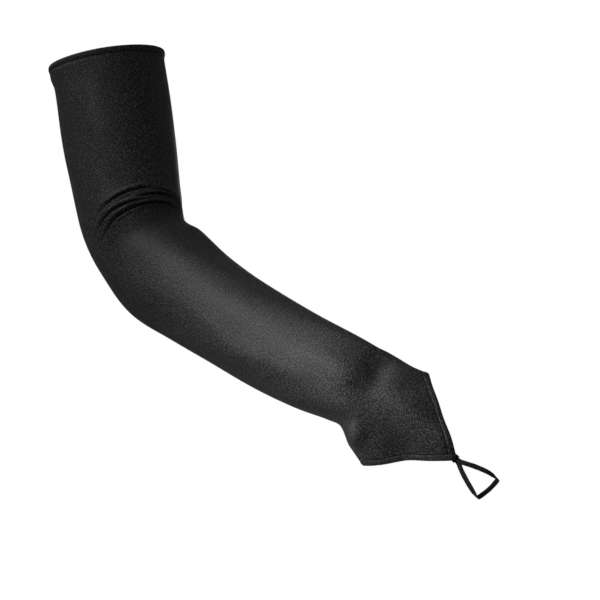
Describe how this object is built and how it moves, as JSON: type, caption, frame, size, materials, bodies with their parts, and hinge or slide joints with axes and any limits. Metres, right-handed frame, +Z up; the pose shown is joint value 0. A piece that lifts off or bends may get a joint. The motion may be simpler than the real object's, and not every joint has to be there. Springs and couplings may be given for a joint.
{
  "type": "evening mitten",
  "caption": "Long fingerless evening mitten in stretch satin, worn form on a bent arm, with a V point over the hand and a strap round the middle finger.",
  "frame": {"origin": "centre of the arm opening's rim", "axes": "+Z up, out of the arm opening; +X from the upper arm towards the hand; +Y from the back of the hand towards the palm"},
  "size_m": [0.3047, 0.1695, 0.3052],
  "materials": {
    "stretch_satin": "black stretch satin with a soft sheen and a fine diagonal grain",
    "hem_satin": "the same satin folded double and stitched down",
    "strap": "narrow flat satin strap, brownish black",
    "thread": "dense black thread"
  },
  "bodies": {
    "root": {"sleeve": "stretch_satin", "upper_hem": "hem_satin", "hand_hem": "hem_satin", "finger_loop": "strap", "loop_tack": "thread"}
  },
  "joints": []
}
